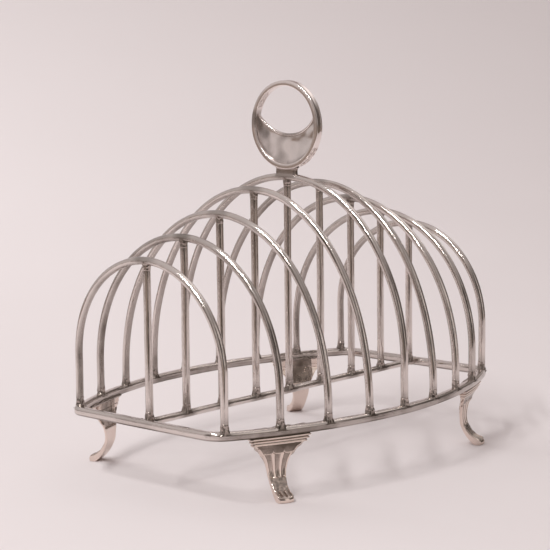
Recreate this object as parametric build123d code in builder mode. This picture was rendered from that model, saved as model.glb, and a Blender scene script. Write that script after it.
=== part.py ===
"""Silver toast rack: nine wire arches on a bowed base frame, a ring handle and four fluted feet.

The rack stands on the XY plane with +Z up. X runs along the row of arches and Y runs across it.
The origin lies on the table, under the middle of the rack. All sizes are in millimetres.
"""

import os
from math import asin, cos, sin, sqrt

from build123d import *

# Row of arches, listed from the middle arch outwards
arch_pitch = 18.0
apex_rises = [79.5, 76.0, 68.8, 62.2, 56.0]      # wire centre at the crown, above the base plane
spring_rises = [15.5, 5.5, 7.0, 13.0, 20.0]      # top of the straight legs, above the base plane
arches_each_side = len(apex_rises) - 1
arch_wire = 2.7

# Base frame: two long bowed sides joined by straight ends
base_height = 23.7                               # base plane above the table
side_radius = 146.6
half_width_middle = 54.6
half_length = 75.0
corner_radius = 6.0
frame_width = 3.2
frame_height = 3.2
frame_round = 1.2

# Centre bar and the upright rod that ties it to each arch
bar_wire = 2.6
rod_wire = 2.7
rod_end_gap = 0.8                                # from a wire's centre line to the rod's end

# Ring handle on the middle arch
ring_radius = 16.2
ring_thickness = 2.0
ring_depth = 3.0
ring_round = 0.7
ring_lift = 2.75                                 # from the arch's centre line to the ring
crescent_edge_drop = 3.15                        # lowest point of the finger hole, below the ring's centre
crescent_edge_radius = 16.5
crescent_thickness = 0.8
dish_radius = 72.0
block_length = 10.4

# Feet: a stepped cap, an apron, a fluted leg and a splayed toe
foot_station = 54.0                              # feet stand under the second arch from each end
cap_steps = [(1.2, 11.3), (0.4, 10.6), (-0.6, 9.6)]   # (reach out from the wire's centre, half width)
cap_step_height = 1.05
cap_back_reach = -3.0
scallop_height = 16.4

# A leg from the side, as (reach out from the wire's centre, height above the table)
leg_top = (-1.7, scallop_height)
leg_front = [(-2.5, 13.0), (-2.7, 10.2), (-1.9, 7.0), (0.3, 4.1)]
toe_top = (3.0, 2.6)
toe_shoulder = (4.3, 2.1)
toe_tip = (4.9, 0.9)
toe_edge = (4.5, 0.0)
heel = (2.0, 0.0)
leg_back = [(-1.3, 3.3), (-3.1, 6.8), (-3.9, 10.2), (-3.7, 13.6)]
toe_slopes = [(1, -0.1), (-0.4, -1)]             # direction of the toe's outline at its top and edge

# A leg from the front, as (half width, height above the table), from the apron to the toe
apron_half_width = 9.2
leg_sides = [(6.6, scallop_height), (4.9, 14.0), (3.9, 11.0), (3.2, 7.2), (2.9, 4.5), (2.9, 2.0)]

# Three flutes down the front of each leg
flute_top_half_width = 5.2
flute_foot_half_width = 2.5
flute_foot_height = 7.2
flute_shoulder_drop = 1.2                        # from the scallop's height to the sides of a flute
flute_top_drop = 0.2                             # from the scallop's height to a flute's round top
flute_gap = 0.55
flute_depth = 0.4
flute_shares = [-1, -1 / 3, 1 / 3, 1]            # edges of the flutes across the leg

ring_centre_height = base_height + apex_rises[0] + ring_lift + ring_radius


def half_width_at(x):
    """Half width of the base frame's centre line at a distance x from the middle."""
    return half_width_middle - side_radius + sqrt(side_radius**2 - x**2)


def frame_outline(grow):
    """Plan of the base frame's centre line, grown outwards by the given amount."""
    arc_centre = half_width_middle - side_radius
    with BuildSketch() as outline:
        with Locations((0, arc_centre)):
            Circle(side_radius + grow)
        with Locations((0, -arc_centre)):
            Circle(side_radius + grow, mode=Mode.INTERSECT)
        Rectangle(2 * (half_length + grow), 4 * half_width_middle, mode=Mode.INTERSECT)
        fillet(outline.vertices(), corner_radius + grow)
    return outline.sketch


def save(part, name):
    """Label a finished piece and write it to its own file."""
    part.label = name
    export_step(part, f"parts/{name}.step")


def make_arch(station, apex_rise, spring_rise):
    """Arch wire: straight legs off the base frame, joined by a half ellipse."""
    half_width = half_width_at(station)
    spring_height = base_height + spring_rise
    with BuildPart() as arch:
        with BuildLine(Plane.YZ.offset(station)) as path:
            Line((half_width, base_height), (half_width, spring_height))
            EllipticalCenterArc(
                (0, spring_height), half_width, apex_rise - spring_rise, start_angle=0, arc_size=180
            )
            Line((-half_width, spring_height), (-half_width, base_height))
        with BuildSketch(Plane(path.line @ 0, z_dir=path.line % 0)):
            Circle(arch_wire / 2)
        sweep(path=path.line)
        add(base_frame.part, mode=Mode.SUBTRACT)
    return arch.part


def make_rod(station, apex_rise, arch):
    """Upright rod from the centre bar to an arch's crown, coped to fit both wires."""
    with BuildPart() as rod:
        with BuildSketch(Plane.XY.offset(base_height + rod_end_gap)):
            with Locations((station, 0)):
                Circle(rod_wire / 2)
        extrude(amount=apex_rise - 2 * rod_end_gap)
        add(centre_bar.part, mode=Mode.SUBTRACT)
        add(arch, mode=Mode.SUBTRACT)
    return rod.part


def make_foot(side_x, side_y):
    """Cast foot under the frame's wire, facing squarely outwards from the frame's curve."""
    turn = asin(foot_station / side_radius)
    outward = Vector(side_x * sin(turn), side_y * cos(turn), 0)
    origin = Vector(side_x * foot_station, side_y * half_width_at(foot_station), 0)
    side_plane = Plane(origin, x_dir=outward, z_dir=outward.cross(Vector(0, 0, 1)))
    front_plane = Plane(origin, x_dir=outward.cross(Vector(0, 0, 1)), z_dir=-outward)

    top = base_height - frame_height / 2
    widest = cap_steps[0][1]
    cap_bottom = (apron_half_width, top - len(cap_steps) * cap_step_height)
    side_steps = []
    front_steps = []
    for index, (reach, half_width) in enumerate(cap_steps):
        upper = top - index * cap_step_height
        side_steps += [(reach, upper), (reach, upper - cap_step_height)]
        front_steps += [(half_width, upper), (half_width, upper - cap_step_height)]
    back_top = (cap_back_reach, top)
    ankle = leg_sides[-1]

    with BuildPart() as foot:
        with BuildSketch(side_plane):
            with BuildLine():
                Polyline(back_top, *side_steps)
                Spline(side_steps[-1], leg_top, *leg_front, toe_top)
                Spline(toe_top, toe_shoulder, toe_tip, toe_edge, tangents=toe_slopes)
                Line(toe_edge, heel)
                Spline(heel, *leg_back, back_top)
            make_face()
        extrude(amount=widest, both=True)

        with BuildSketch(front_plane):
            with BuildLine():
                Polyline((0, top), *front_steps)
                Line(front_steps[-1], cap_bottom)
                Spline(cap_bottom, *leg_sides)
                Polyline(ankle, (ankle[0], 0), (0, 0), (0, top))
            make_face()
            mirror(about=Plane.YZ)
        extrude(amount=2 * widest, both=True, mode=Mode.INTERSECT)
        add(make_flutes(side_plane, front_plane), mode=Mode.SUBTRACT)
    return foot.part


def make_flutes(side_plane, front_plane):
    """Cutter for the three tapering flutes, just deeper than the leg's front surface."""
    floor = [(reach - flute_depth, height) for reach, height in [leg_top, *leg_front]]
    clear_of_leg = toe_tip[0]
    shoulder_height = scallop_height - flute_shoulder_drop
    top_height = scallop_height - flute_top_drop
    with BuildPart() as flutes:
        with BuildSketch(side_plane):
            with BuildLine():
                Spline(*floor)
                Polyline(
                    floor[-1], (clear_of_leg, floor[-1][1]), (clear_of_leg, floor[0][1]), floor[0]
                )
            make_face()
        extrude(amount=flute_top_half_width, both=True)
        with BuildSketch(front_plane):
            for left, right in zip(flute_shares, flute_shares[1:]):
                top_left = left * flute_top_half_width + flute_gap / 2
                top_right = right * flute_top_half_width - flute_gap / 2
                foot_left = (left * flute_foot_half_width + flute_gap / 2, flute_foot_height)
                foot_right = (right * flute_foot_half_width - flute_gap / 2, flute_foot_height)
                with BuildLine():
                    Polyline(
                        (top_left, shoulder_height), foot_left, foot_right, (top_right, shoulder_height)
                    )
                    ThreePointArc(
                        (top_right, shoulder_height),
                        ((top_left + top_right) / 2, top_height),
                        (top_left, shoulder_height),
                    )
                make_face()
        extrude(amount=2 * clear_of_leg, both=True, mode=Mode.INTERSECT)
    return flutes.part


os.makedirs("parts", exist_ok=True)

# Base frame: one closed wire of rounded section
outer_outline = frame_outline(frame_width / 2)
inner_outline = frame_outline(-frame_width / 2)
with BuildPart() as base_frame:
    with BuildSketch(Plane.XY.offset(base_height - frame_height / 2)):
        add(outer_outline)
        add(inner_outline, mode=Mode.SUBTRACT)
    extrude(amount=frame_height)
    fillet(base_frame.edges(), frame_round)
save(base_frame.part, "base_frame")

# Centre bar between the frame's two ends
with BuildPart() as centre_bar:
    with BuildSketch(Plane.YZ):
        with Locations((0, base_height)):
            Circle(bar_wire / 2)
    extrude(amount=half_length, both=True)
    add(base_frame.part, mode=Mode.SUBTRACT)
save(centre_bar.part, "centre_bar")

# Arches and their rods, numbered from the -X end
arches = []
for number in range(-arches_each_side, arches_each_side + 1):
    station = number * arch_pitch
    order = number + arches_each_side + 1
    apex_rise = apex_rises[abs(number)]
    arch = make_arch(station, apex_rise, spring_rises[abs(number)])
    arches.append(arch)
    save(arch, f"arch_{order}")
    save(make_rod(station, apex_rise, arch), f"centre_rod_{order}")
middle_arch = arches[arches_each_side]

# Handle ring, standing in the plane of the middle arch
ring_axis = Axis((0, 0, ring_centre_height), (1, 0, 0))
ring_inner_radius = ring_radius - ring_thickness
with BuildPart() as handle_ring:
    with BuildSketch(Plane.XZ):
        with Locations((0, ring_centre_height + ring_radius - ring_thickness / 2)):
            RectangleRounded(ring_depth, ring_thickness, ring_round)
    revolve(axis=ring_axis)
save(handle_ring.part, "handle_ring")

# Dished crescent that fills the lower part of the ring and leaves the finger hole above it
dish_offset = sqrt((dish_radius + crescent_thickness / 2) ** 2 - ring_inner_radius**2)
with BuildPart() as handle_crescent:
    with BuildSketch(Plane.YZ):
        with Locations((0, ring_centre_height)):
            Circle(ring_inner_radius)
        with Locations((0, ring_centre_height - crescent_edge_drop + crescent_edge_radius)):
            Circle(crescent_edge_radius, mode=Mode.SUBTRACT)
    extrude(amount=ring_depth, both=True)
    with Locations((-dish_offset, 0, ring_centre_height)):
        Sphere(dish_radius + crescent_thickness, mode=Mode.INTERSECT)
        Sphere(dish_radius, mode=Mode.SUBTRACT)
save(handle_crescent.part, "handle_crescent")

# Seat block between the ring and the crown of the middle arch
with BuildPart() as handle_block:
    with BuildSketch(Plane.XY.offset(base_height + apex_rises[0])):
        Rectangle(ring_depth, block_length)
    extrude(amount=ring_lift + ring_thickness)
    add(middle_arch, mode=Mode.SUBTRACT)
    with BuildSketch(Plane.YZ.offset(-ring_depth)):
        with Locations((0, ring_centre_height)):
            Circle(ring_radius)
    extrude(amount=2 * ring_depth, mode=Mode.SUBTRACT)
save(handle_block.part, "handle_block")

# Four feet, under the second arch from each end
foot_names = {
    (-1, -1): "foot_near_right",
    (-1, 1): "foot_near_left",
    (1, -1): "foot_far_right",
    (1, 1): "foot_far_left",
}
for (side_x, side_y), foot_name in foot_names.items():
    save(make_foot(side_x, side_y), foot_name)
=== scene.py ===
"""Looks of the silver toast rack: hand-drawn wires, solder, cast feet and the ring handle."""

from math import asin, atan2, cos, pi, radians, sin, sqrt

import bmesh
import bpy
import numpy as np
from mathutils import Matrix, Vector, noise


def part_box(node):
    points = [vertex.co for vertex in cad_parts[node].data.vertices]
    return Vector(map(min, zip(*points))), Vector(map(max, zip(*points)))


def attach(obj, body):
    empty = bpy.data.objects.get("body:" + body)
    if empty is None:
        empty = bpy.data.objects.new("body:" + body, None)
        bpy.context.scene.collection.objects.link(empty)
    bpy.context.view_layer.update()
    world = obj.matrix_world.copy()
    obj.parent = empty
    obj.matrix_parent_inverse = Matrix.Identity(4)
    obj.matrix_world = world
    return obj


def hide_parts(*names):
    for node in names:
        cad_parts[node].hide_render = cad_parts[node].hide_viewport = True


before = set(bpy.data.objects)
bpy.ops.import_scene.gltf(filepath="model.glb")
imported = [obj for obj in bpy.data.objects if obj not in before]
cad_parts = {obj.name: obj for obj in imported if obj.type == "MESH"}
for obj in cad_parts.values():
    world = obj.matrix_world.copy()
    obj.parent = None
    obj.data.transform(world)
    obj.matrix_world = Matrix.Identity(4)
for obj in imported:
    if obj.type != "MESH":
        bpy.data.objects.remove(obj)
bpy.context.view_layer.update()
noise.seed_set(1)      # noise_vector would otherwise be shifted by the clock

MM = 0.001
BODY = "root"
UP = Vector((0, 0, 1))
ALONG_ROW = Vector((1, 0, 0))
ACROSS_ROW = Vector((0, 1, 0))

# Facts of the design that a node's box doesn't hold
SIDE_RADIUS = 146.6 * MM
CORNER_RADII = {(-1, -1): 9.0 * MM, (-1, 1): 4.5 * MM, (1, -1): 6.0 * MM, (1, 1): 6.5 * MM}
SPRING_RISES = [15.5, 5.5, 7.0, 13.0, 20.0]      # straight legs, mm, from the middle arch outwards
FOOT_STATION = 54.0 * MM
ARCH_COUNT = 9
MIDDLE = ARCH_COUNT // 2 + 1

frame_low, frame_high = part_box("base_frame")
FRAME_WIRE = frame_high.z - frame_low.z
BASE_HEIGHT = (frame_high.z + frame_low.z) / 2
HALF_LENGTH = frame_high.x - FRAME_WIRE / 2
HALF_WIDTH = frame_high.y - FRAME_WIRE / 2
bar_low, bar_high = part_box("centre_bar")
BAR_RADIUS = (bar_high.z - bar_low.z) / 2


# ---------------------------------------------------------------- helpers

# Scale of the streaks: per metre of a cast piece, round and along a wire, and their shift per wire
CAST_GRAIN = 300
DRAWN_ACROSS, DRAWN_ALONG, DRAWN_SHIFT = 1.6, 30, 7.7
WANDER_SCALE = 24         # bends of a wire, per metre


def link(name, verts, faces, material, replaced, tarnish_and_shade, grain=None):
    """Make a mesh piece that rides on the rack, with tarnish, painted shade and grain stored on its
    points.
    """
    mesh = bpy.data.meshes.new(name)
    mesh.from_pydata([tuple(v) for v in verts], [], faces)
    mesh.update()
    outwards = bmesh.new()
    outwards.from_mesh(mesh)
    bmesh.ops.recalc_face_normals(outwards, faces=outwards.faces)
    if outwards.calc_volume(signed=True) < 0:
        bmesh.ops.reverse_faces(outwards, faces=outwards.faces)
    outwards.to_mesh(mesh)
    outwards.free()
    mesh.polygons.foreach_set("use_smooth", [True] * len(mesh.polygons))
    layer = mesh.attributes.new("tarnish_and_shade", "FLOAT", "POINT")
    layer.data.foreach_set("value", np.asarray(tarnish_and_shade, np.float32))
    layer = mesh.attributes.new("grain", "FLOAT_VECTOR", "POINT")
    lines = np.asarray(verts, float) * CAST_GRAIN if grain is None else np.asarray(grain, float)
    layer.data.foreach_set("vector", lines.astype(np.float32).ravel())
    piece = bpy.data.objects.new(name, mesh)
    bpy.context.scene.collection.objects.link(piece)
    mesh.materials.append(material)
    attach(piece, BODY)
    if replaced:
        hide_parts(*replaced)


def link_wire(node, rings, closed, seed, tarnish_and_shade):
    """Make the drawn wire that stands for a node, with streaks that run along it."""
    grain = []
    turns = turns_of(len(rings[0]))
    for i in range(len(rings)):
        for turn in turns:
            across = DRAWN_ACROSS * cos(turn), DRAWN_ACROSS * sin(turn)
            grain.append((*across, i * WIRE_STEP * DRAWN_ALONG + seed * DRAWN_SHIFT))
    link(node + "_wire", flat(rings), skin(rings, closed), wire_silver,
         [node], tarnish_and_shade, grain)


def flat(rings):
    return [v for ring in rings for v in ring]


def turns_of(segments):
    """Angles of a ring's points."""
    return [2 * pi * k / segments for k in range(segments)]


def skin(rings, closed=False, first=0):
    """Faces that join rings of equal size: a loop, or a run with both ends capped."""
    count, segments = len(rings), len(rings[0])
    faces = []
    for i in range(count if closed else count - 1):
        a, b = i * segments, ((i + 1) % count) * segments
        for k in range(segments):
            n = (k + 1) % segments
            faces.append([first + v for v in (a + k, a + n, b + n, b + k)])
    if not closed:
        faces.append([first + k for k in range(segments)][::-1])
        faces.append([first + (count - 1) * segments + k for k in range(segments)])
    return faces


def wander(point, seed, size):
    """Smooth hand-made unevenness: a small offset that depends on the place."""
    place = point * WANDER_SCALE + Vector((seed * 7.3, seed * 3.1, seed * 5.7))
    return noise.noise_vector(place) * size


def half_width_at(x):
    return HALF_WIDTH - SIDE_RADIUS + sqrt(SIDE_RADIUS**2 - x**2)


def smoothstep(low, high, value):
    share = min(max((value - low) / (high - low), 0.0), 1.0)
    return share * share * (3 - 2 * share)


def near_joint(distance, reach):
    return smoothstep(reach, 0, distance)


# ---------------------------------------------------------------- materials

CLOUD_SCALE, SPECK_SCALE, DENT_SCALE, STREAK_SCALE = 70, 1100, 260, 1.6
STREAK_DEPTH, DENT_DEPTH, SPECK_DEPTH = 0.0004, 0.0006, 0.00006
# Colour of tarnish, also used for the painted shade and painted reflections stored with it
TARNISH_AND_SHADE_COLOUR = (0.13, 0.105, 0.085, 1)
TARNISH_ROUGHNESS = 0.2


class Tree:
    """Short calls that build a node tree."""

    def __init__(self, owner):
        owner.use_nodes = True
        self.nodes, self.links = owner.node_tree.nodes, owner.node_tree.links

    def feed(self, socket, value):
        """Link a socket to another node's output, or give it a plain value."""
        if isinstance(value, bpy.types.NodeSocket):
            self.links.new(value, socket)
        else:
            socket.default_value = value

    def add(self, kind, **settings):
        """New node; each setting is a property, or a socket such as From_Min for From Min."""
        node = self.nodes.new(kind)
        for key, value in settings.items():
            if hasattr(node, key):
                setattr(node, key, value)
            else:
                self.feed(node.inputs[key.replace("_", " ")], value)
        return node

    def math(self, operation, *terms, clamp=False):
        node = self.add("ShaderNodeMath", operation=operation, use_clamp=clamp)
        for socket, term in zip(node.inputs, terms):
            self.feed(socket, term)
        return node.outputs[0]

    def noise(self, vector, scale, detail):
        node = self.add("ShaderNodeTexNoise", Vector=vector, Scale=scale, Detail=detail)
        return node.outputs["Fac"]

    def remap(self, value, low, high, to_low, to_high, kind="LINEAR"):
        node = self.add("ShaderNodeMapRange", interpolation_type=kind, Value=value,
                        From_Min=low, From_Max=high, To_Min=to_low, To_Max=to_high)
        return node.outputs["Result"]

    def mix(self, factor, a, b):
        node = self.add("ShaderNodeMix", data_type="RGBA", Factor=factor, A=a, B=b)
        return node.outputs["Result"]

    def ramp(self, factor, stops):
        node = self.add("ShaderNodeValToRGB", Fac=factor)
        node.color_ramp.interpolation = "EASE"
        elements = node.color_ramp.elements
        while len(elements) > 1:
            elements.remove(elements[-1])
        elements[0].position, elements[0].color = stops[0][0], (*stops[0][1], 1)
        for position, colour in stops[1:]:
            elements.new(position).color = (*colour, 1)
        return node.outputs["Color"]


def silver(name, colour, roughness, streaks, dents):
    """Old hand-worked silver: streaks, fine rubbing, soft dents, tarnish in the corners and the
    painted shade stored with it.
    """
    material = bpy.data.materials.new(name)
    tree = Tree(material)
    shader = tree.nodes["Principled BSDF"]
    tree.feed(shader.inputs["Metallic"], 1.0)

    place = tree.add("ShaderNodeTexCoord").outputs["Object"]
    cloud = tree.noise(place, CLOUD_SCALE, 5)
    speck = tree.noise(place, SPECK_SCALE, 4)
    dent = tree.noise(place, DENT_SCALE, 2)
    grain = tree.add("ShaderNodeAttribute", attribute_name="grain").outputs["Vector"]
    streak = tree.noise(grain, STREAK_SCALE, 4)

    # Tarnish and painted shade: the stored mask, tarnish near the joints and painted shade and
    # reflections elsewhere, broken up by the clouds, with a light haze elsewhere
    painted = tree.add("ShaderNodeAttribute", attribute_name="tarnish_and_shade").outputs["Fac"]
    patch = tree.remap(cloud, 0.3, 0.7, 0.55, 1.15)
    haze = tree.remap(cloud, 0.50, 0.75, 0.0, 0.22)
    tarnish_and_shade = tree.math("MULTIPLY_ADD", painted, patch, haze, clamp=True)
    tree.feed(shader.inputs["Base Color"], tree.mix(tarnish_and_shade, (*colour, 1), TARNISH_AND_SHADE_COLOUR))

    gloss = tree.remap(streak, 0.3, 0.7, roughness * 0.7, roughness * 1.4)
    dull = tree.math("MULTIPLY_ADD", tarnish_and_shade, TARNISH_ROUGHNESS, gloss)
    tree.feed(shader.inputs["Roughness"], dull)

    bump = tree.add("ShaderNodeBump", Strength=streaks, Distance=STREAK_DEPTH, Height=streak)
    for source, depth in ((dent, DENT_DEPTH), (speck, SPECK_DEPTH)):
        bump = tree.add("ShaderNodeBump", Strength=dents, Distance=depth, Height=source,
                        Normal=bump.outputs["Normal"])
    tree.feed(shader.inputs["Normal"], bump.outputs["Normal"])
    return material


# Colour, roughness, strength of the streaks and of the dents
wire_silver = silver("wire_silver", (0.76, 0.695, 0.66), 0.09, 0.40, 0.025)
cast_silver = silver("cast_silver", (0.85, 0.73, 0.66), 0.11, 0.03, 0.10)
handle_silver = silver("handle_silver", (0.93, 0.85, 0.82), 0.13, 0.03, 0.015)
solder_silver = silver("solder_silver", (0.69, 0.605, 0.565), 0.11, 0.05, 0.10)


# ---------------------------------------------------------------- wires

WIRE_STEP = 1.2 * MM
WIRE_SEGMENTS = 44
WIRE_DENT, WIRE_DENT_SCALE = 0.012, 45
DRAW_LOBES = ((5, 0.008), (8, 0.007), (13, 0.0045))   # lines of the draw plate: count, height
LINE_DRIFT, LINE_DRIFT_SCALE = 0.22, 14               # how far and how fast they turn round a wire
LEG_STEPS, CURVE_STEPS = 12, 150
ROD_STEPS, BAR_STEPS = 70, 150
FRAME_WANDER, ARCH_WANDER, ROD_WANDER, BAR_WANDER = 0.16 * MM, 0.30 * MM, 0.25 * MM, 0.22 * MM
FRAME_SEED, ROD_SEEDS, BAR_SEED, FRAME_GRAIN_SEED = 1, 20, 40, 60

FRAME_CORNER = 1.2 * MM
CORNER_STEPS, FLAT_STEPS = 10, 4
FRAME_DENT, FRAME_DENT_ALONG, FRAME_DENT_ROUND = 0.02, 110, 900
# Frame darkening: painted shade with some tarnish on the underside, a painted dark reflection line
# on the outside, and painted dark reflections on the faces low down
UNDER_STARTS, UNDER_FULL, UNDER_DARK = -0.40, -0.70, 0.95    # heights in halves of the wire
DARK_LINE_HEIGHT, DARK_LINE_REACH = 0.30, 0.20
FACE_TOP = 0.15

ARCH_DULLNESS = [0.0, 0.24, 0.06, 0.0, 0.08, 0.14, 0.04, 0.10, 0.0]
# Painted shade on the inner side of each arch
UNDERSIDE_SHADE = 0.5
UNDERSIDE_EDGE = (0.1, 0.8)
JOINT_HOLD = 14 * MM      # wires wander fully only this far from a joint
# Tarnish at a joint: how dark it is, how far it's full and how far it reaches from there
JOINT_STAIN, ROD_STAIN = 0.8, 0.85
CROWN_FULL, ROD_FULL = 2 * MM, 1.5 * MM
LEG_FOG, TOP_FOG, ROD_FOG, BAR_FOG = 7 * MM, 5 * MM, 7 * MM, 4 * MM


def tube_rings(path, radius, segments, seed, dent=WIRE_DENT):
    """Rings of points round a path, slightly uneven and with lines from the draw plate."""
    rings = []
    side = (path[1] - path[0]).normalized().orthogonal().normalized()
    for i, centre in enumerate(path):
        along = (path[min(i + 1, len(path) - 1)] - path[max(i - 1, 0)]).normalized()
        side = (side - along * side.dot(along)).normalized()
        other = along.cross(side)
        ring = []
        drift = centre * LINE_DRIFT_SCALE + Vector((seed * 3.3, 0, 0))
        shifts = [
            noise.noise(drift + Vector((0, 0, lobe * 5.1))) * LINE_DRIFT for lobe, _ in DRAW_LOBES
        ]
        for turn in turns_of(segments):
            arm = side * cos(turn) + other * sin(turn)
            place = centre * WIRE_DENT_SCALE + arm * 0.9 + Vector((seed, 0, 0))
            uneven = 1 + dent * noise.noise(place)
            if dent:
                for (lobe, height), shift in zip(DRAW_LOBES, shifts):
                    uneven += height * cos(lobe * (turn + seed + shift))
            ring.append(centre + arm * radius * uneven)
        rings.append(ring)
    return rings


def plan_quarter(radius):
    """A quarter of the frame's centre line, from the middle of a side to the middle of an end."""
    arc_centre = HALF_WIDTH - SIDE_RADIUS
    corner_x = HALF_LENGTH - radius
    corner_y = arc_centre + sqrt((SIDE_RADIUS - radius) ** 2 - corner_x**2)
    lean = atan2(corner_y - arc_centre, corner_x)
    quarter = []
    steps = max(2, round((pi / 2 - lean) * SIDE_RADIUS / WIRE_STEP))
    for k in range(steps + 1):
        turn = pi / 2 - (pi / 2 - lean) * k / steps
        quarter.append((SIDE_RADIUS * cos(turn), arc_centre + SIDE_RADIUS * sin(turn)))
    steps = max(4, round(lean * radius / (WIRE_STEP / 2)))
    for k in range(1, steps + 1):
        turn = lean * (1 - k / steps)
        quarter.append((corner_x + radius * cos(turn), corner_y + radius * sin(turn)))
    steps = max(2, round(corner_y / WIRE_STEP))
    for k in range(1, steps + 1):
        quarter.append((HALF_LENGTH, corner_y * (1 - k / steps)))
    return quarter


def plan_path():
    """Centre line of the base frame: bowed sides, straight ends and four unequal corners."""
    loop = []
    for side_x, side_y in ((1, 1), (1, -1), (-1, -1), (-1, 1)):
        quarter = plan_quarter(CORNER_RADII[side_x, side_y])
        if side_x * side_y < 0:
            quarter.reverse()
        loop += [(side_x * x, side_y * y) for x, y in quarter[:-1]]
    return [Vector((x, y, BASE_HEIGHT)) for x, y in loop]


def frame_section():
    """Rounded square section of the base frame, as offsets outwards and upwards."""
    points = []
    inner = FRAME_WIRE / 2 - FRAME_CORNER
    signs = [(1, 1), (-1, 1), (-1, -1), (1, -1)]
    for quarter, (sx, sy) in enumerate(signs):
        for k in range(CORNER_STEPS):
            turn = pi / 2 * (quarter + k / (CORNER_STEPS - 1))
            x, y = FRAME_CORNER * cos(turn), FRAME_CORNER * sin(turn)
            points.append((sx * inner + x, sy * inner + y))
        next_x, next_y = signs[(quarter + 1) % 4]
        turn = pi / 2 * (quarter + 1)
        for k in range(1, FLAT_STEPS):
            share = k / FLAT_STEPS
            x = (sx + (next_x - sx) * share) * inner + FRAME_CORNER * round(cos(turn))
            y = (sy + (next_y - sy) * share) * inner + FRAME_CORNER * round(sin(turn))
            points.append((x, y))
    return points


def frame_shade_and_tarnish(out, rise, across_share):
    """Darkening of the frame: painted shade with some tarnish on its underside, a painted dark
    reflection line high on the outside, and painted dark reflections on its faces low down.
    """
    half = FRAME_WIRE / 2
    under = smoothstep(UNDER_STARTS * half, UNDER_FULL * half, rise)
    dark_line = max(0.0, 1 - abs(rise - DARK_LINE_HEIGHT * half) / (DARK_LINE_REACH * half)) if out > 0 else 0.0
    face = 0.08 + 0.50 * across_share if rise < FACE_TOP * half else 0.0
    return max(face, UNDER_DARK * under, (0.45 + 0.5 * across_share) * dark_line)


def make_base_frame():
    path = plan_path()
    section = frame_section()
    rings, tarnish_and_shade = [], []
    for i, centre in enumerate(path):
        along = (path[(i + 1) % len(path)] - path[i - 1]).normalized()
        outward = along.cross(UP)
        if outward.dot(Vector((centre.x, centre.y, 0))) < 0:
            outward.negate()
        place = centre + wander(centre, FRAME_SEED, FRAME_WANDER)
        ring = []
        for out, rise in section:
            spot = centre * FRAME_DENT_ALONG + Vector((out, rise, 0)) * FRAME_DENT_ROUND
            uneven = 1 + FRAME_DENT * noise.noise(spot)
            ring.append(place + (outward * out + UP * rise) * uneven)
            # Painted shade and painted reflections, with some tarnish, stored on each point
            tarnish_and_shade.append(frame_shade_and_tarnish(out, rise, outward.y**2))
        rings.append(ring)
    link_wire("base_frame", rings, True, FRAME_GRAIN_SEED, tarnish_and_shade)


def arch_facts(order):
    """Station, half width, crown height, leg height and wire radius of an arch."""
    low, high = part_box(f"arch_{order}")
    radius = (high.x - low.x) / 2
    station = (high.x + low.x) / 2
    spring = BASE_HEIGHT + SPRING_RISES[abs(order - MIDDLE)] * MM
    return station, high.y - radius, high.z - radius, spring, radius


ARCHES = {order: arch_facts(order) for order in range(1, ARCH_COUNT + 1)}


def arch_point(order, turn):
    """Point on the centre line of an arch's curved part."""
    station, half_width, crown, spring, _ = ARCHES[order]
    return Vector((station, half_width * cos(turn), spring + (crown - spring) * sin(turn)))


def make_arch(order):
    station, half_width, crown, spring, radius = ARCHES[order]
    path = [
        Vector((station, half_width, BASE_HEIGHT + (spring - BASE_HEIGHT) * k / LEG_STEPS))
        for k in range(LEG_STEPS)
    ]
    path += [arch_point(order, pi * k / CURVE_STEPS) for k in range(CURVE_STEPS + 1)]
    path += [Vector((p.x, -p.y, p.z)) for p in path[:LEG_STEPS][::-1]]
    crown_point = Vector((station, 0, crown))
    bent = []
    for point in path:
        hold = smoothstep(0, JOINT_HOLD, min(point.z - BASE_HEIGHT, (point - crown_point).length))
        bent.append(point + wander(point, order, ARCH_WANDER) * hold)
    rings = tube_rings(bent, radius, WIRE_SEGMENTS, order)
    tarnish_and_shade = []
    for point, ring in zip(bent, rings):
        foot = near_joint(point.z - BASE_HEIGHT - FRAME_WIRE / 2, LEG_FOG)
        top = near_joint((point - crown_point).length - CROWN_FULL, TOP_FOG)
        joint = JOINT_STAIN * max(foot, 0.7 * top)
        # Painted shade on the inner side of the curve and legs, added to each arch's own dullness
        inward = Vector((0, -point.y, min(0, BASE_HEIGHT + half_width - point.z))).normalized()
        for corner in ring:
            under = smoothstep(*UNDERSIDE_EDGE, (corner - point).dot(inward) / radius)
            tarnish_and_shade.append(max(joint, ARCH_DULLNESS[order - 1] + UNDERSIDE_SHADE * under))
    link_wire(f"arch_{order}", rings, False, order, tarnish_and_shade)


def rod_ends(order):
    """Foot and top of a centre rod's line, and its radius, from its node's box."""
    low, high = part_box(f"centre_rod_{order}")
    crown = ARCHES[order][2]
    radius = (high.x - low.x) / 2
    station = (high.x + low.x) / 2
    top_y = high.y - radius if high.y + low.y > 0 else low.y + radius
    return Vector((station, 0, BASE_HEIGHT)), Vector((station, top_y, crown)), radius


def make_rod(order):
    foot, top, radius = rod_ends(order)
    seed = order + ROD_SEEDS
    path = []
    for k in range(ROD_STEPS + 1):
        share = k / ROD_STEPS
        point = foot.lerp(top, share)
        path.append(point + wander(point, seed, ROD_WANDER) * sin(pi * share))
    tarnish_and_shade = []
    for point in path:
        bottom_fog = near_joint(point.z - foot.z - ROD_FULL, ROD_FOG)
        top_fog = near_joint(top.z - point.z - ROD_FULL, TOP_FOG)
        tarnish_and_shade += [ROD_STAIN * max(bottom_fog, 0.8 * top_fog)] * WIRE_SEGMENTS
    rings = tube_rings(path, radius, WIRE_SEGMENTS, seed)
    link_wire(f"centre_rod_{order}", rings, False, seed, tarnish_and_shade)


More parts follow.
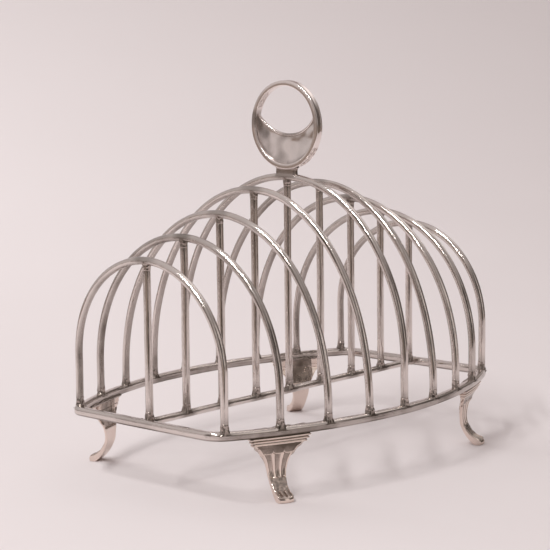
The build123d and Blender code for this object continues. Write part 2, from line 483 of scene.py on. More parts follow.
def make_centre_bar():
    path = []
    for k in range(BAR_STEPS + 1):
        point = Vector((-HALF_LENGTH + 2 * HALF_LENGTH * k / BAR_STEPS, 0, BASE_HEIGHT))
        path.append(point + wander(point, BAR_SEED, BAR_WANDER) * sin(pi * k / BAR_STEPS))
    tarnish_and_shade = []
    for point in path:
        nearest = min(abs(point.x - facts[0]) for facts in ARCHES.values())
        tarnish_and_shade += [JOINT_STAIN * near_joint(nearest - ROD_FULL, BAR_FOG)] * WIRE_SEGMENTS
    rings = tube_rings(path, BAR_RADIUS, WIRE_SEGMENTS, BAR_SEED)
    link_wire("centre_bar", rings, False, BAR_SEED, tarnish_and_shade)


# ---------------------------------------------------------------- solder

COLLAR_LEVELS, COLLAR_SEGMENTS = 14, 32
COLLAR_DEPTH = 0.9 * MM      # how far a fillet runs into the piece below it
COLLAR_LUMPS, COLLAR_WOBBLE = 0.34 * MM, 0.5 * MM
COLLAR_CLEAR = 0.02 * MM     # how far a fillet's thin end stands off its wire
COLLAR_FLARE, COLLAR_SPREAD = 2.2, 1.5
SEAT_SINK = 0.2 * MM
SOLDER_STAIN, SOLDER_FOOT_STAIN = 0.35, 0.5
# Height, reach along and reach across of each kind of fillet
LEG_FILLET = (2.9 * MM, 1.8 * MM, 0.32 * MM)
ROD_FILLET = (3.0 * MM, 1.6 * MM, 0.35 * MM)
CROWN_FILLET = (2.4 * MM, 1.1 * MM, 0.1 * MM)
BAR_FILLET = (2.6 * MM, 1.5 * MM, 0.1 * MM)


def solder_collar(seat, axis, along, radius, fillet, seed):
    """Rings of one solder fillet that flares from a wire down onto the piece it stands on."""
    height, reach_along, reach_across = fillet
    axis = axis.normalized()
    along = (along - axis * along.dot(axis)).normalized()
    across = axis.cross(along)
    rings = []
    for level in range(COLLAR_LEVELS + 1):
        share = level / COLLAR_LEVELS
        rise = height * (1 - share) - COLLAR_DEPTH * share
        flare = 1 - sqrt(max(0.0, 1 - share**COLLAR_FLARE))
        ring = []
        for turn in turns_of(COLLAR_SEGMENTS):
            x, y = cos(turn), sin(turn)
            spread = reach_along * abs(x) ** COLLAR_SPREAD + reach_across * abs(y) ** COLLAR_SPREAD
            lump = COLLAR_LUMPS * noise.noise(Vector((x * 1.6, y * 1.6, share * 3 + seed * 9)))
            size = radius * 1.01 + spread * flare + lump * sin(pi * share) + COLLAR_CLEAR
            arm = along * x + across * y
            wobble = COLLAR_WOBBLE * noise.noise(Vector((x, y, seed * 5))) * (1 - share)
            ring.append(seat + arm * size + axis * (rise + wobble))
        rings.append(ring)
    return rings


def join_collars(name, collars):
    """One mesh of many separate solder fillets, darker towards their feet."""
    verts, faces, tarnish_and_shade = [], [], []
    for rings in collars:
        faces += skin(rings, first=len(verts))
        for level, ring in enumerate(rings):
            verts += ring
            share = level / (len(rings) - 1)
            tarnish_and_shade += [SOLDER_STAIN + SOLDER_FOOT_STAIN * share] * len(ring)
    link(name, verts, faces, solder_silver, [], tarnish_and_shade)


def make_solder():
    legs, rod_feet, rod_tops, bar_ends = [], [], [], []
    for order, (station, half_width, _, _, radius) in ARCHES.items():
        lean = asin(station / SIDE_RADIUS)
        for side in (1, -1):
            seat = Vector((station, side * half_width, BASE_HEIGHT + FRAME_WIRE / 2 - SEAT_SINK))
            along = Vector((cos(lean), -side * sin(lean), 0))
            legs.append(solder_collar(seat, UP, along, radius, LEG_FILLET, order + side * 0.3))
        foot, top, radius = rod_ends(order)
        line = (top - foot).normalized()
        seat = foot + UP * COLLAR_DEPTH
        rod_feet.append(solder_collar(seat, line, ALONG_ROW, radius, ROD_FILLET, order + 30))
        seat = top - UP * COLLAR_DEPTH
        rod_tops.append(solder_collar(seat, -line, ACROSS_ROW, radius, CROWN_FILLET, order + 50))
    for side in (1, -1):
        seat = Vector((side * (HALF_LENGTH - FRAME_WIRE / 2 + SEAT_SINK), 0, BASE_HEIGHT))
        axis = Vector((-side, 0, 0))
        bar_ends.append(solder_collar(seat, axis, ACROSS_ROW, BAR_RADIUS, BAR_FILLET, 70 + side))
    join_collars("leg_solder", legs)
    join_collars("rod_foot_solder", rod_feet)
    join_collars("rod_top_solder", rod_tops)
    join_collars("bar_end_solder", bar_ends)


# ---------------------------------------------------------------- feet

# Leg stations from the apron down to the toe, mm: reach and height of the front and of the back,
# and half width
LEG = [
    (-0.75, 19.35, -2.70, 19.35, 9.35),
    (-0.62, 18.90, -2.74, 18.80, 9.15),
    (-1.12, 17.95, -2.92, 17.60, 7.75),
    (-1.50, 17.05, -3.10, 16.60, 7.00),
    (-1.78, 16.20, -3.26, 15.60, 6.45),
    (-2.15, 14.90, -3.48, 14.40, 5.50),
    (-2.50, 13.00, -3.70, 12.70, 4.50),
    (-2.72, 10.30, -3.80, 10.20, 3.75),
    (-2.45, 8.40, -3.75, 8.10, 3.40),
    (-1.90, 7.00, -3.20, 6.40, 3.15),
    (-0.70, 5.10, -2.10, 4.20, 2.95),
    (0.60, 3.85, -0.70, 2.25, 2.90),
    (1.80, 3.05, 0.70, 0.85, 2.90),
    (3.00, 2.60, 2.00, 0.00, 2.95),
    (4.10, 2.20, 3.10, 0.00, 3.00),
    (4.75, 1.50, 4.00, 0.00, 2.95),
    (4.90, 0.80, 4.35, 0.00, 2.90),
    (4.70, 0.12, 4.55, 0.00, 2.85),
]
# Which end (far is 1) and which side (left is 1) each foot stands at
FEET = {
    "foot_near_right": (-1, -1), "foot_near_left": (-1, 1),
    "foot_far_right": (1, -1), "foot_far_left": (1, 1),
}
STATION_SPAN = 14         # rows from one station to the next, before they're spaced evenly
ROW_STEP = 0.15           # mm
FRONT_COLUMNS, BACK_COLUMNS = 129, 97
LEG_EDGE = 0.42           # rounding of a leg's edges, mm

# Ornament of a leg's front: shares are of its half width, the rest is in mm
SCALLOP_SHARES, SCALLOP_HALF = (-0.6, 0.0, 0.6), 0.31
SCALLOP_TOP, SCALLOP_DROP = 16.5, 1.0
APRON_LOW, APRON_LIFT, APRON_DARK = 15.2, 0.22, 0.84
RIM_RISE, RIM_HALF, RIM_LIFT = 0.30, 0.32, 0.20
# Flutes painted dark: patina in the hollows, with painted shade
FLUTE_SHARES, FLUTE_HALF = (-0.62, 0.0, 0.62), 0.205
FLUTE_LOW, FLUTE_HIGH, FLUTE_DEPTH, FLUTE_DARK = 6.8, 16.4, 0.55, 0.80
KNUCKLE_LOW, KNUCKLE_HIGH, KNUCKLE_LUMPS = 3.4, 8.2, 0.14
REED_HIGH, REED_DEPTH = 4.4, 0.20

# Back of a foot, mm from its middle and from the frame's centre line: a block with a sunk panel
# between two thin wings
PANEL_EDGE, PANEL_DEPTH = (4.9, 4.4), 0.75
BLOCK_EDGE, BLOCK_BACK = (5.8, 5.3), -2.70
WING_BACK, WING_THICKNESS = -1.55, 0.95
# The back of a foot is painted dark brown: a painted reflection of a brown table
BACK_PAINTED_REFLECTION, WING_STAIN = 0.78, 0.1

# Cap: reach, top and bottom of each moulding, mm, and how its width follows its reach
CAP_MOULDINGS = ((1.22, 22.10, 21.42), (0.78, 20.98, 20.34), (0.16, 19.90, 19.22))
CAP_HALF, CAP_FULL_REACH, CAP_TAPER = 11.3, 1.2, 0.944
CAP_STEPS, CAP_SIDE, CAP_ACROSS, CAP_CORNER = 6, 6, 24, 0.25

# Solder runs behind a cap: inset and rise from the frame, and thickness, mm
FOOT_RUNS = ((0.05, -1.25, 0.62), (-0.42, 1.02, 0.52))
RUN_REACH, RUN_STEPS, RUN_SEGMENTS, RUN_SEEDS = 12.5 * MM, 90, 14, 80
RUN_LUMPS, RUN_LUMP_SCALE = 0.75, 420


def flowing(stations):
    """Smooth rows through the stations (Catmull-Rom), evenly spaced along the front."""
    table = np.array([stations[0], *stations, stations[-1]])
    rows = []
    for k in range(1, len(table) - 2):
        a, b, c, d = table[k - 1:k + 3]
        for share in np.arange(STATION_SPAN) / STATION_SPAN:
            bend = (2 * a - 5 * b + 4 * c - d) * share**2 + (3 * b - a - 3 * c + d) * share**3
            rows.append(0.5 * (2 * b + (c - a) * share + bend))
    rows = np.array(rows + [table[-1]])
    travel = np.concatenate([[0], np.cumsum(np.hypot(*np.diff(rows[:, :2], axis=0).T))])
    even = np.linspace(0, travel[-1], int(travel[-1] / ROW_STEP) + 1)
    return np.stack([np.interp(even, travel, column) for column in rows.T], -1)


def bowl_at(share, centres, half):
    """Height, 0 to 1, of a half circle over whichever centre a share is near; the last one wins."""
    bowl = 0.0
    for centre in centres:
        offset = (share - centre) / half
        if abs(offset) < 1:
            bowl = sqrt(1 - offset**2)
    return bowl


def leg_relief(share, reach, height):
    """Depth of the ornament on the front of a leg, mm, and how dark each spot is painted."""
    grow, dark = 0.0, 0.0
    inside = abs(share) < 0.90
    scallop = SCALLOP_TOP - SCALLOP_DROP * bowl_at(share, SCALLOP_SHARES, SCALLOP_HALF)
    lip = smoothstep(scallop - 0.12, scallop + 0.12, height) if inside else 1.0
    if height > APRON_LOW:
        grow += APRON_LIFT * lip
        if inside:
            rim = sqrt(max(0.0, 1 - abs(height - scallop - RIM_RISE) / RIM_HALF))
            grow += RIM_LIFT * rim
            dark = max(dark, APRON_DARK * lip * (1 - 0.95 * rim))
    if FLUTE_LOW < height < FLUTE_HIGH:
        bowl = bowl_at(share, FLUTE_SHARES, FLUTE_HALF)
        ends = smoothstep(7.0, 8.0, height) * (1 - lip)
        grow -= FLUTE_DEPTH * bowl * ends
        # Patina with painted shade in the flutes
        dark = max(dark, FLUTE_DARK * sqrt(bowl) * ends)
    if KNUCKLE_LOW < height < KNUCKLE_HIGH:
        knuckle = smoothstep(KNUCKLE_HIGH, 6.8, height) * smoothstep(KNUCKLE_LOW, 4.2, height)
        lump = noise.noise(Vector((share * 2.2, height * 0.9, reach)))
        grow += KNUCKLE_LUMPS * knuckle * lump
        pits = min(max(0.62 + 0.9 * lump, 0), 1)
        dark = max(dark, knuckle * pits * smoothstep(1.0, 0.8, abs(share)))
    if height < REED_HIGH and reach > -0.6:
        reeds = smoothstep(REED_HIGH, 3.6, height) * smoothstep(4.6, 4.1, reach)
        reeds *= smoothstep(0.93, 0.82, abs(share))
        wave = 0.5 + 0.5 * cos(share * 3.4 * pi)
        grow -= REED_DEPTH * reeds * wave
        dark = max(dark, reeds * (0.45 + 0.4 * wave))
    return grow, dark


def back_panel(across, height, thick):
    """How far a leg's back lies inside its outline, mm: a sunk panel with thin wings beside it."""
    sunk = PANEL_DEPTH * smoothstep(12.9, 13.5, height) * smoothstep(*PANEL_EDGE, across)
    wing = (thick - WING_THICKNESS) * smoothstep(*BLOCK_EDGE[::-1], across)
    return max(sunk, wing)


def back_painted_reflection(across, height):
    """Painted dark reflection of a brown table on the back of a leg: the sunk panel, with a lighter
    border round it.
    """
    border = smoothstep(5.5, 5.1, across) * smoothstep(4.3, 4.8, across)
    border = max(border, smoothstep(13.7, 13.2, height))
    darkness = BACK_PAINTED_REFLECTION * smoothstep(12.2, 12.7, height) * smoothstep(5.7, 5.3, across)
    return darkness * (1 - 0.6 * border)


def edge_fall(share, half, radius):
    """How far a rounded edge falls away from a face, mm."""
    into = max(0.0, abs(share) * half - (half - radius))
    return radius - sqrt(max(0.0, radius**2 - into**2))


def leg_mesh():
    """Points (across, out, up) in mm, faces, and the darkening of one leg: tarnish, with painted
    shade in the flutes and a painted reflection on the back.
    """
    rows = flowing(LEG)
    rings, tarnish_and_shade = [], []
    spread = np.linspace(-1, 1, FRONT_COLUMNS)
    shares = 0.55 * spread + 0.45 * np.sin(spread * pi / 2)
    back_shares = np.sin(np.linspace(1, -1, BACK_COLUMNS) * pi / 2)
    tangents = np.gradient(rows[:, :2], axis=0)
    tangents /= np.linalg.norm(tangents, axis=1)[:, None]
    for (reach, height, back_reach, back_height, half), (run, rise) in zip(rows, tangents):
        out, up = -rise, run
        thick = sqrt((reach - back_reach) ** 2 + (height - back_height) ** 2)
        tip = 0.75 * smoothstep(3.2, 4.9, reach)
        rounding = min(LEG_EDGE, 0.42 * thick)
        ring = []
        for share in shares:
            grow, dark = leg_relief(share, reach, height)
            grow -= edge_fall(share, half, rounding)
            front = reach + out * grow - tip * share**2
            ring.append((share * half, front, max(height + up * grow, 0.06)))
            tarnish_and_shade.append(dark)
        hollow = 0.30 * smoothstep(5.0, 8.0, height) * smoothstep(12.6, 11.6, height)
        for share in back_shares:
            across = abs(share * half)
            inward = edge_fall(share, half, rounding * 0.7) + hollow * (1 - share**2)
            inward += back_panel(across, back_height, thick)
            back = back_reach + out * inward - tip * share**2
            ring.append((share * half, back, max(back_height + up * inward, 0.0)))
            # Painted reflection of a brown table on the back
            tarnish_and_shade.append(back_painted_reflection(across, back_height))
        rings.append(ring)
    return flat(rings), skin(rings), tarnish_and_shade


def cap_profile():
    """Moulding of a foot's cap from its top down, mm: reach, height and tarnish."""
    profile = [(0.9, 22.15, 0.2)]
    for reach, top, bottom in CAP_MOULDINGS:
        for k in range(CAP_STEPS + 1):
            offset = -1 + 2 * k / CAP_STEPS
            height = top + (bottom - top) * k / CAP_STEPS
            profile.append((reach - 0.22 * (1 - sqrt(1 - offset**2)), height, 0.0))
        profile.append((reach - 0.62, bottom - 0.06, 0.85))
        if bottom > 20:
            profile.append((reach - 0.72, bottom - 0.22, 0.95))
            profile.append((reach - 0.70, bottom - 0.36, 0.95))
    profile.append((-0.75, 18.92, 0.7))
    return profile


def cap_mesh():
    """Points (across, out, up) in mm, faces, and the darkening of one cap: tarnish in its grooves
    and a painted reflection on its back.
    """
    rings, tarnish_and_shade = [], []
    soft = CAP_CORNER * 0.3
    for reach, height, dark in cap_profile():
        half = CAP_HALF - CAP_TAPER * (CAP_FULL_REACH - reach)
        inner = half - CAP_CORNER
        flank = reach - WING_BACK - 2 * CAP_CORNER
        side = [
            (-half, WING_BACK + CAP_CORNER + flank * k / (CAP_SIDE - 1), dark * 0.8)
            for k in range(CAP_SIDE)
        ]
        front = [(-half + soft, reach - soft, dark * 0.6)]
        for k in range(CAP_ACROSS + 1):
            front.append((-half + CAP_CORNER + 2 * inner * k / CAP_ACROSS, reach, dark))
        front.append((half - soft, reach - soft, dark * 0.6))
        rear = [(half - soft, WING_BACK + soft, WING_STAIN)]
        for k in range(3 * CAP_ACROSS + 1):
            across = inner * (1 - 2 * k / (3 * CAP_ACROSS))
            block = smoothstep(*BLOCK_EDGE, abs(across))
            sunk = PANEL_DEPTH * smoothstep(*PANEL_EDGE, abs(across))
            out = WING_BACK + (BLOCK_BACK - WING_BACK) * block + sunk
            # Painted reflection of a brown table on the cap's back
            rear.append((across, out, max(BACK_PAINTED_REFLECTION * block, WING_STAIN)))
        rear.append((-half + soft, WING_BACK + soft, WING_STAIN))
        mirrored = [(-across, out, darkness) for across, out, darkness in side[::-1]]
        loop = side + front + mirrored + rear
        rings.append([(across, out, height) for across, out, _ in loop])
        tarnish_and_shade += [darkness for _, _, darkness in loop]
    return flat(rings), skin(rings), tarnish_and_shade


def foot_place(side_x, side_y):
    """Origin, outward and sideways directions of a foot."""
    lean = asin(FOOT_STATION / SIDE_RADIUS)
    outward = Vector((side_x * sin(lean), side_y * cos(lean), 0))
    origin = Vector((side_x * FOOT_STATION, side_y * half_width_at(FOOT_STATION), 0))
    return origin, outward, outward.cross(UP)


def make_foot(node, side_x, side_y, meshes):
    """One cast foot: the moulded cap over the fluted leg, both bent to the frame's curve."""
    origin, outward, sideways = foot_place(side_x, side_y)
    verts, faces, tarnish_and_shade = [], [], []
    for points, sides, stains in meshes:
        first = len(verts)
        for across, out, up in points:
            bent = out * MM - (across * MM) ** 2 / (2 * SIDE_RADIUS)
            verts.append(origin + sideways * across * MM + outward * bent + UP * up * MM)
        faces += [[first + v for v in side] for side in sides]
        tarnish_and_shade += stains
    link(node + "_cast", verts, faces, cast_silver, [node], tarnish_and_shade)


def make_foot_solder():
    """Lumpy runs of solder along the inside of the frame, low down and near its top."""
    runs = []
    for index, sides in enumerate(FEET.values()):
        origin, outward, sideways = foot_place(*sides)
        for inset, rise, thick in FOOT_RUNS:
            path = []
            for k in range(RUN_STEPS + 1):
                across = -RUN_REACH + 2 * RUN_REACH * k / RUN_STEPS
                bent = -across**2 / (2 * SIDE_RADIUS) - FRAME_WIRE / 2 - inset * MM
                place = origin + sideways * across + outward * bent
                path.append(place + UP * (BASE_HEIGHT + rise * MM))
            rings = tube_rings(path, thick * MM, RUN_SEGMENTS, RUN_SEEDS + index, dent=0)
            for k, ring in enumerate(rings):
                ends = sqrt(max(0.0, 1 - (2 * k / RUN_STEPS - 1) ** 4)) + 0.02
                spot = path[k] * RUN_LUMP_SCALE + Vector((index, rise, 0))
                lump = 1 + RUN_LUMPS * noise.noise(spot)
                for n, point in enumerate(ring):
                    ring[n] = path[k] + (point - path[k]) * lump * ends
            runs.append(rings)
    join_collars("foot_solder", runs)


# ---------------------------------------------------------------- handle

ring_low, ring_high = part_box("handle_ring")
RING_RADIUS = (ring_high.y - ring_low.y) / 2
RING_HEIGHT = (ring_high.z + ring_low.z) / 2
RING_HALF_DEPTH = (ring_high.x - ring_low.x) / 2
RING_THICKNESS, RING_CORNER, RING_GROOVE = 2.0 * MM, 0.42 * MM, 0.20 * MM
RING_STEPS, CORNER_POINTS, GROOVE_POINTS = 220, 7, 9
RING_STAIN = 0.12
LEFT_HORN_STAIN, RIGHT_HORN_STAIN = 0.75, 0.3

HOLE_DROP, HOLE_RADIUS = 3.15 * MM, 16.5 * MM
DISH_RADIUS = 72.0 * MM
CRESCENT_THICKNESS, CRESCENT_EDGE, CRESCENT_BEAD = 0.8 * MM, 0.05 * MM, 0.16 * MM
CRESCENT_OVERLAP, HORN_CUT = 0.35 * MM, 0.02      # into the ring, and off each horn in radians
EDGE_REACH, BEAD_REACH = 0.45 * MM, 0.5 * MM
CRESCENT_COLUMNS, CRESCENT_ROWS = 120, 40
FINE_DENT, FINE_DENT_SCALE = 0.16 * MM, 230
WIDE_DENT, WIDE_DENT_SCALE = 0.34 * MM, 95
PATCH_STAIN, PATCH_SCALE = 0.75, 190
# Plate painted darker along the ring's inner rim, more on the right: painted shade of the ring
LEFT_RIM_SHADE, RIGHT_RIM_SHADE = 0.2, 0.55

BLOCK_LEVELS, BLOCK_SEGMENTS = 18, 64
BLOCK_SQUARENESS, BLOCK_WAIST, BLOCK_LUMPS = 0.28, 0.55 * MM, 0.03
BLOCK_STAIN, BLOCK_END_STAIN = 0.55, 0.75


def make_ring():
    """Round band with soft corners and a shallow groove worn round its outside."""
    outer, inner = RING_RADIUS, RING_RADIUS - RING_THICKNESS
    flat_half = RING_HALF_DEPTH - RING_CORNER
    section = []
    for radius, x, start in (
        (outer - RING_CORNER, flat_half, 0), (inner + RING_CORNER, flat_half, 90),
        (inner + RING_CORNER, -flat_half, 180), (outer - RING_CORNER, -flat_half, 270),
    ):
        for k in range(CORNER_POINTS):
            turn = radians(start + 90 * k / (CORNER_POINTS - 1))
            section.append((radius + RING_CORNER * cos(turn), x + RING_CORNER * sin(turn)))
    for x in np.linspace(-flat_half, flat_half, GROOVE_POINTS)[1:-1]:
        section.append((outer - RING_GROOVE * (1 - (x / flat_half) ** 2), x))
    centre = Vector((0, 0, RING_HEIGHT))
    rings = []
    for turn in turns_of(RING_STEPS):
        arm = Vector((0, cos(turn), sin(turn)))
        worn = 1 + 0.004 * noise.noise(arm * 2.1)
        rings.append([
            centre + arm * min(radius * worn, outer) + Vector((x, 0, 0)) for radius, x in section
        ])
    verts = flat(rings)
    tarnish_and_shade = []
    for v in verts:
        low = smoothstep(RING_HEIGHT - 11 * MM, RING_HEIGHT - 16 * MM, v.z)
        horn = smoothstep(4.5 * MM, 1.5 * MM, abs(v.z - RING_HEIGHT - 2.0 * MM))
        horn *= LEFT_HORN_STAIN if v.y > 0 else RIGHT_HORN_STAIN
        tarnish_and_shade.append(max(RING_STAIN * low, horn))
    link("handle_ring_band", verts, skin(rings, closed=True), handle_silver,
         ["handle_ring"], tarnish_and_shade)


def crescent_grid():
    """Columns of points (0, y, z) from the ring's centre, each from the upper edge to the lower."""
    inner = RING_RADIUS - RING_THICKNESS + CRESCENT_OVERLAP
    hole_centre = HOLE_RADIUS - HOLE_DROP
    horn_height = (inner**2 - HOLE_RADIUS**2 + hole_centre**2) / (2 * hole_centre)
    horn = atan2(horn_height, sqrt(inner**2 - horn_height**2)) - HORN_CUT
    grid = []
    for i in range(CRESCENT_COLUMNS + 1):
        turn = -pi - horn + (pi + 2 * horn) * i / CRESCENT_COLUMNS
        low = Vector((0, inner * cos(turn), inner * sin(turn)))
        edge = Vector((0, low.y, hole_centre - sqrt(max(HOLE_RADIUS**2 - low.y**2, 0))))
        grid.append([edge.lerp(low, k / CRESCENT_ROWS) for k in range(CRESCENT_ROWS + 1)])
    return grid


def dish(point):
    """How far the dished plate is sunk at a point, from the plane of its rim."""
    sunk = sqrt(DISH_RADIUS**2 - point.y**2 - point.z**2)
    rim = sqrt(DISH_RADIUS**2 - (RING_RADIUS - RING_THICKNESS) ** 2)
    return sunk - rim


def flat_noise(point, scale, layer):
    """Noise over the plane of the crescent."""
    return noise.noise(Vector((layer, point.y * scale, point.z * scale)))


def make_crescent():
    """Dished plate with horns that run up into the ring, its upper edge thickened and rounded."""
    grid = crescent_grid()
    verts, tarnish_and_shade = [], []
    for sign in (-1, 1):
        for column in grid:
            depth = (column[-1] - column[0]).length
            for k, point in enumerate(column):
                travel = depth * k / CRESCENT_ROWS
                edge = max(0.0, 1 - travel / EDGE_REACH)
                bead = CRESCENT_BEAD * max(0.0, 1 - abs(travel - BEAD_REACH) / BEAD_REACH)
                half = CRESCENT_THICKNESS / 2 * sqrt(max(0.0, 1 - edge**2))
                half = max(half, CRESCENT_EDGE) + bead
                dent = FINE_DENT * flat_noise(point, FINE_DENT_SCALE, 0)
                dent += WIDE_DENT * flat_noise(point, WIDE_DENT_SCALE, 5)
                x = dish(point) + sign * half + dent * smoothstep(0.8 * MM, 3 * MM, travel)
                verts.append(Vector((x, point.y, RING_HEIGHT + point.z)))
                patch = max(0.0, flat_noise(point, PATCH_SCALE, 9) + 0.15)
                # Painted shade of the ring along the plate's lower edge
                corner = smoothstep(2.2 * MM, 0.3 * MM, depth - travel)
                corner *= RIGHT_RIM_SHADE if point.y < 0 else LEFT_RIM_SHADE
                tarnish_and_shade.append(min(1.0, 0.05 + PATCH_STAIN * patch + corner))
    stride = CRESCENT_ROWS + 1
    back = len(verts) // 2
    faces = []
    for i in range(CRESCENT_COLUMNS):
        for k in range(CRESCENT_ROWS):
            a = i * stride + k
            quad = [a, a + 1, a + stride + 1, a + stride]
            faces.append(quad)
            faces.append([v + back for v in quad[::-1]])
    last = CRESCENT_COLUMNS * stride
    border = [i * stride for i in range(CRESCENT_COLUMNS + 1)]
    border += [last + k for k in range(1, CRESCENT_ROWS + 1)]
    border += [i * stride + CRESCENT_ROWS for i in range(CRESCENT_COLUMNS - 1, -1, -1)]
    border += list(range(CRESCENT_ROWS - 1, 0, -1))
    for a, b in zip(border, border[1:] + border[:1]):
        faces.append([a, b, b + back, a + back])
    link("handle_crescent_plate", verts, faces, handle_silver,
         ["handle_crescent"], tarnish_and_shade)


def make_block():
    """Seat between ring and arch, flared where the solder runs onto both."""
    low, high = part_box("handle_block")
    half_x, half_y = (high.x - low.x) / 2, (high.y - low.y) / 2
    bottom, top = low.z + 0.25 * MM, high.z
    rings = []
    for level in range(BLOCK_LEVELS + 1):
        share = level / BLOCK_LEVELS
        height = bottom + (top - bottom) * share
        waist = BLOCK_WAIST * (1 - (2 * share - 1) ** 4)
        shrink_x = 1 - 0.55 * waist / half_x
        shrink_y = 1 - 1.1 * waist / half_y
        ring = []
        for turn in turns_of(BLOCK_SEGMENTS):
            x = half_x * abs(cos(turn)) ** BLOCK_SQUARENESS * (1 if cos(turn) > 0 else -1)
            y = half_y * abs(sin(turn)) ** BLOCK_SQUARENESS * (1 if sin(turn) > 0 else -1)
            lump = 1 + BLOCK_LUMPS * noise.noise(Vector((x, y, height)) * 700)
            ring.append(Vector((x * shrink_x * lump, y * shrink_y * lump, height)))
        rings.append(ring)
    tarnish_and_shade = []
    for level in range(BLOCK_LEVELS + 1):
        inside = 0 < level < BLOCK_LEVELS
        tarnish_and_shade += [BLOCK_STAIN if inside else BLOCK_END_STAIN] * BLOCK_SEGMENTS
    link("handle_block_seat", flat(rings), skin(rings), solder_silver,
         ["handle_block"], tarnish_and_shade)


# ---------------------------------------------------------------- stage, light and camera

CAMERA_AZIMUTH, CAMERA_ELEVATION, CAMERA_ROLL = -47.66, 8.01, -0.67
CAMERA_DISTANCE = 0.6893
CAMERA_LENS, CAMERA_SENSOR = 121.1, 36
AIM_RIGHT, AIM_UP = -5.33 * MM, 42.65 * MM

PAPER_DARK = (0.815, 0.755, 0.760, 1)
PAPER_LIGHT = (0.845, 0.785, 0.790, 1)
FLOOR_ROWS = (0.225, 0.1, -0.1, -0.40)    # metres towards the camera; the last starts the bend
BEND_RADIUS, BEND_STEPS = 1.10, 32
WALL_HEIGHT, PAPER_HALF_WIDTH, PAPER_COLUMNS = 0.5, 0.45, 8

# Colours of the room by turn: 0 is behind the rack, then the left side, the camera (0.5), the right
HORIZON = [
    (0.00, (0.40, 0.37, 0.36)), (0.20, (0.52, 0.48, 0.47)), (0.30, (0.56, 0.51, 0.50)),
    (0.335, (0.11, 0.09, 0.08)), (0.375, (0.11, 0.09, 0.08)), (0.41, (0.58, 0.53, 0.51)),
    (0.46, (0.46, 0.41, 0.39)), (0.50, (0.16, 0.135, 0.125)), (0.525, (0.04, 0.032, 0.028)),
    (0.59, (0.04, 0.032, 0.028)), (0.615, (0.80, 0.74, 0.71)), (0.68, (0.74, 0.68, 0.65)),
    (0.71, (0.12, 0.10, 0.09)), (0.86, (0.10, 0.085, 0.078)), (0.92, (0.30, 0.26, 0.24)),
    (1.00, (0.40, 0.37, 0.36)),
]
OVERHEAD = [
    (0.00, (0.62, 0.58, 0.57)), (0.30, (0.56, 0.52, 0.51)), (0.42, (0.50, 0.46, 0.45)),
    (0.52, (0.42, 0.38, 0.37)), (0.60, (0.30, 0.27, 0.26)), (0.74, (0.42, 0.39, 0.38)),
    (0.82, (1.05, 0.98, 0.95)), (0.90, (1.05, 0.98, 0.95)), (1.00, (0.62, 0.58, 0.57)),
]
BELOW = [
    (0.00, (0.14, 0.11, 0.09)), (0.20, (0.20, 0.155, 0.13)), (0.31, (0.30, 0.24, 0.205)),
    (0.345, (0.09, 0.07, 0.06)), (0.375, (0.09, 0.07, 0.06)), (0.41, (0.36, 0.29, 0.25)),
    (0.47, (0.30, 0.24, 0.20)), (0.51, (0.07, 0.054, 0.045)), (0.59, (0.04, 0.032, 0.027)),
    (0.615, (0.52, 0.45, 0.41)), (0.68, (0.46, 0.395, 0.36)), (0.72, (0.14, 0.11, 0.09)),
    (1.00, (0.14, 0.11, 0.09)),
]
SEEN_COLOUR = (0.72, 0.67, 0.66, 1)
WORLD_STRENGTH = 1.04


def direction(azimuth, elevation):
    """Unit vector away from the rack: azimuth 0 is the right side (-Y), 90 the far end (+X)."""
    a, e = radians(azimuth), radians(elevation)
    return Vector((sin(a) * cos(e), -cos(a) * cos(e), sin(e)))


AWAY = -direction(CAMERA_AZIMUTH, 0)
RIGHT = UP.cross(-AWAY)


def placed(across, above, facing, place):
    """Matrix of an object from its three axes and its place."""
    return Matrix((*zip(across, above, facing, place), (0, 0, 0, 1)))


def make_camera():
    back = direction(CAMERA_AZIMUTH, CAMERA_ELEVATION)
    right = UP.cross(back).normalized()
    up = back.cross(right)
    roll = radians(CAMERA_ROLL)
    right, up = right * cos(roll) + up * sin(roll), up * cos(roll) - right * sin(roll)
    data = bpy.data.cameras.new("camera")
    data.lens = CAMERA_LENS
    data.sensor_width = CAMERA_SENSOR
    data.clip_start = 0.01
    camera = bpy.data.objects.new("camera", data)
    place = back * CAMERA_DISTANCE + right * AIM_RIGHT + up * AIM_UP + UP * BASE_HEIGHT
    camera.matrix_world = placed(right, up, back, place)
    bpy.context.scene.collection.objects.link(camera)
    bpy.context.scene.camera = camera


def paper_material():
    """Matt paper with a slow, faint change of tone across the sweep."""
    material = bpy.data.materials.new("paper")
    tree = Tree(material)
    shader = tree.nodes["Principled BSDF"]
    tree.feed(shader.inputs["Roughness"], 0.95)
    tree.feed(shader.inputs["Specular IOR Level"], 0.1)
    place = tree.add("ShaderNodeTexCoord").outputs["Object"]
    tint = tree.mix(tree.noise(place, 5, 2), PAPER_DARK, PAPER_LIGHT)
    tree.feed(shader.inputs["Base Color"], tint)
    return material


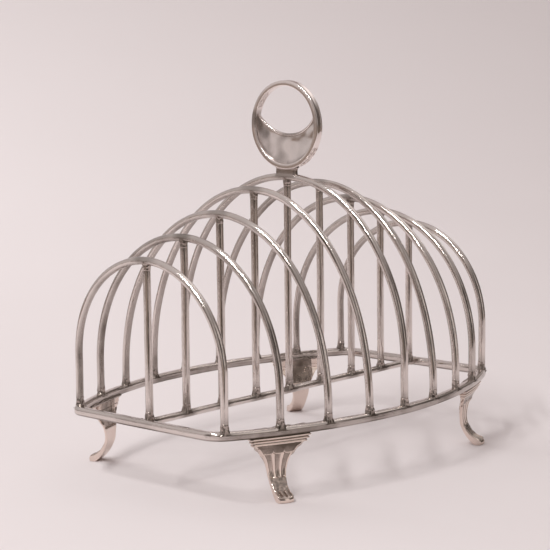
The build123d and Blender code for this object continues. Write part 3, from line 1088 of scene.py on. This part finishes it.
def make_stage():
    """Pale paper sweep: flat under the rack and curving up behind it, turned to the camera."""
    profile = [(out, 0.0) for out in FLOOR_ROWS]
    bend_start = FLOOR_ROWS[-1]
    for k in range(1, BEND_STEPS + 1):
        turn = pi / 2 * k / BEND_STEPS
        profile.append((bend_start - BEND_RADIUS * sin(turn), BEND_RADIUS * (1 - cos(turn))))
    profile.append((bend_start - BEND_RADIUS, BEND_RADIUS + WALL_HEIGHT))
    verts, faces = [], []
    stride = PAPER_COLUMNS + 1
    for out, rise in profile:
        for k in range(stride):
            across = PAPER_HALF_WIDTH * (2 * k / PAPER_COLUMNS - 1)
            verts.append(-AWAY * out + RIGHT * across + UP * rise)
    for i in range(len(profile) - 1):
        for k in range(PAPER_COLUMNS):
            a = i * stride + k
            faces.append([a, a + 1, a + stride + 1, a + stride])
    mesh = bpy.data.meshes.new("paper_sweep")
    mesh.from_pydata([tuple(v) for v in verts], [], faces)
    mesh.polygons.foreach_set("use_smooth", [True] * len(mesh.polygons))
    mesh.materials.append(paper_material())
    sweep = bpy.data.objects.new("paper_sweep", mesh)
    bpy.context.scene.collection.objects.link(sweep)


def make_light(name, place, target, wide, tall, radiance, glossy):
    """Rectangular light, its width along the camera's line of sight; radiance is what it shows."""
    data = bpy.data.lights.new(name, "AREA")
    data.shape = "RECTANGLE"
    data.size, data.size_y = wide, tall
    data.energy = radiance * pi * wide * tall
    light = bpy.data.objects.new(name, data)
    aim = (place - target).normalized()
    across = (AWAY - aim * AWAY.dot(aim)).normalized()
    light.matrix_world = placed(across, aim.cross(across), aim, place)
    light.visible_glossy = glossy
    bpy.context.scene.collection.objects.link(light)


def make_world():
    """Room that the silver mirrors: pale to the sides, dark and brown things by the camera."""
    world = bpy.data.worlds.new("studio")
    tree = Tree(world)
    background = tree.nodes["Background"]
    place = tree.add("ShaderNodeTexCoord").outputs["Generated"]
    turned = tree.add("ShaderNodeVectorRotate", rotation_type="Z_AXIS", Vector=place,
                      Angle=-radians(CAMERA_AZIMUTH - 90))
    split = tree.add("ShaderNodeSeparateXYZ", Vector=turned.outputs["Vector"])
    around = tree.math("ARCTAN2", split.outputs["Y"], split.outputs["X"])
    turn = tree.math("MULTIPLY_ADD", around, 0.5 / pi, 0.5)
    height = tree.math("MULTIPLY_ADD", split.outputs["Z"], 0.5, 0.5)

    lift = tree.remap(height, 0.68, 0.92, 0.0, 1.0, "SMOOTHSTEP")
    sink = tree.remap(height, 0.47, 0.50, 1.0, 0.0, "SMOOTHSTEP")
    upper = tree.mix(lift, tree.ramp(turn, HORIZON), tree.ramp(turn, OVERHEAD))
    room = tree.mix(sink, upper, tree.ramp(turn, BELOW))
    # Seen straight on, past the edge of the paper, the studio is plain and pale
    straight_on = tree.add("ShaderNodeLightPath").outputs["Is Camera Ray"]
    tree.feed(background.inputs["Color"], tree.mix(straight_on, room, SEEN_COLOUR))
    tree.feed(background.inputs["Strength"], WORLD_STRENGTH)
    bpy.context.scene.world = world


make_base_frame()
make_centre_bar()
for order in ARCHES:
    make_arch(order)
    make_rod(order)
make_solder()
foot_meshes = leg_mesh(), cap_mesh()
for node, sides in FEET.items():
    make_foot(node, *sides, foot_meshes)
make_foot_solder()
make_ring()
make_crescent()
make_block()

make_camera()
make_stage()
make_world()
make_light("tube", UP * 0.85 - RIGHT * 0.367 - AWAY * 0.470, target=UP * 0.05,
           wide=0.577, tall=0.05, radiance=50.0, glossy=True)
make_light("wall_fill", UP * 0.5 - RIGHT * 0.7 + AWAY * 0.6, target=AWAY * 0.8,
           wide=0.6, tall=0.6, radiance=2.0, glossy=False)
make_light("floor_fill", UP * 0.6 - RIGHT * 0.1 + AWAY * 0.5, target=AWAY * 0.5,
           wide=0.5, tall=0.5, radiance=0.6, glossy=False)
bpy.context.scene.view_settings.view_transform = "Standard"
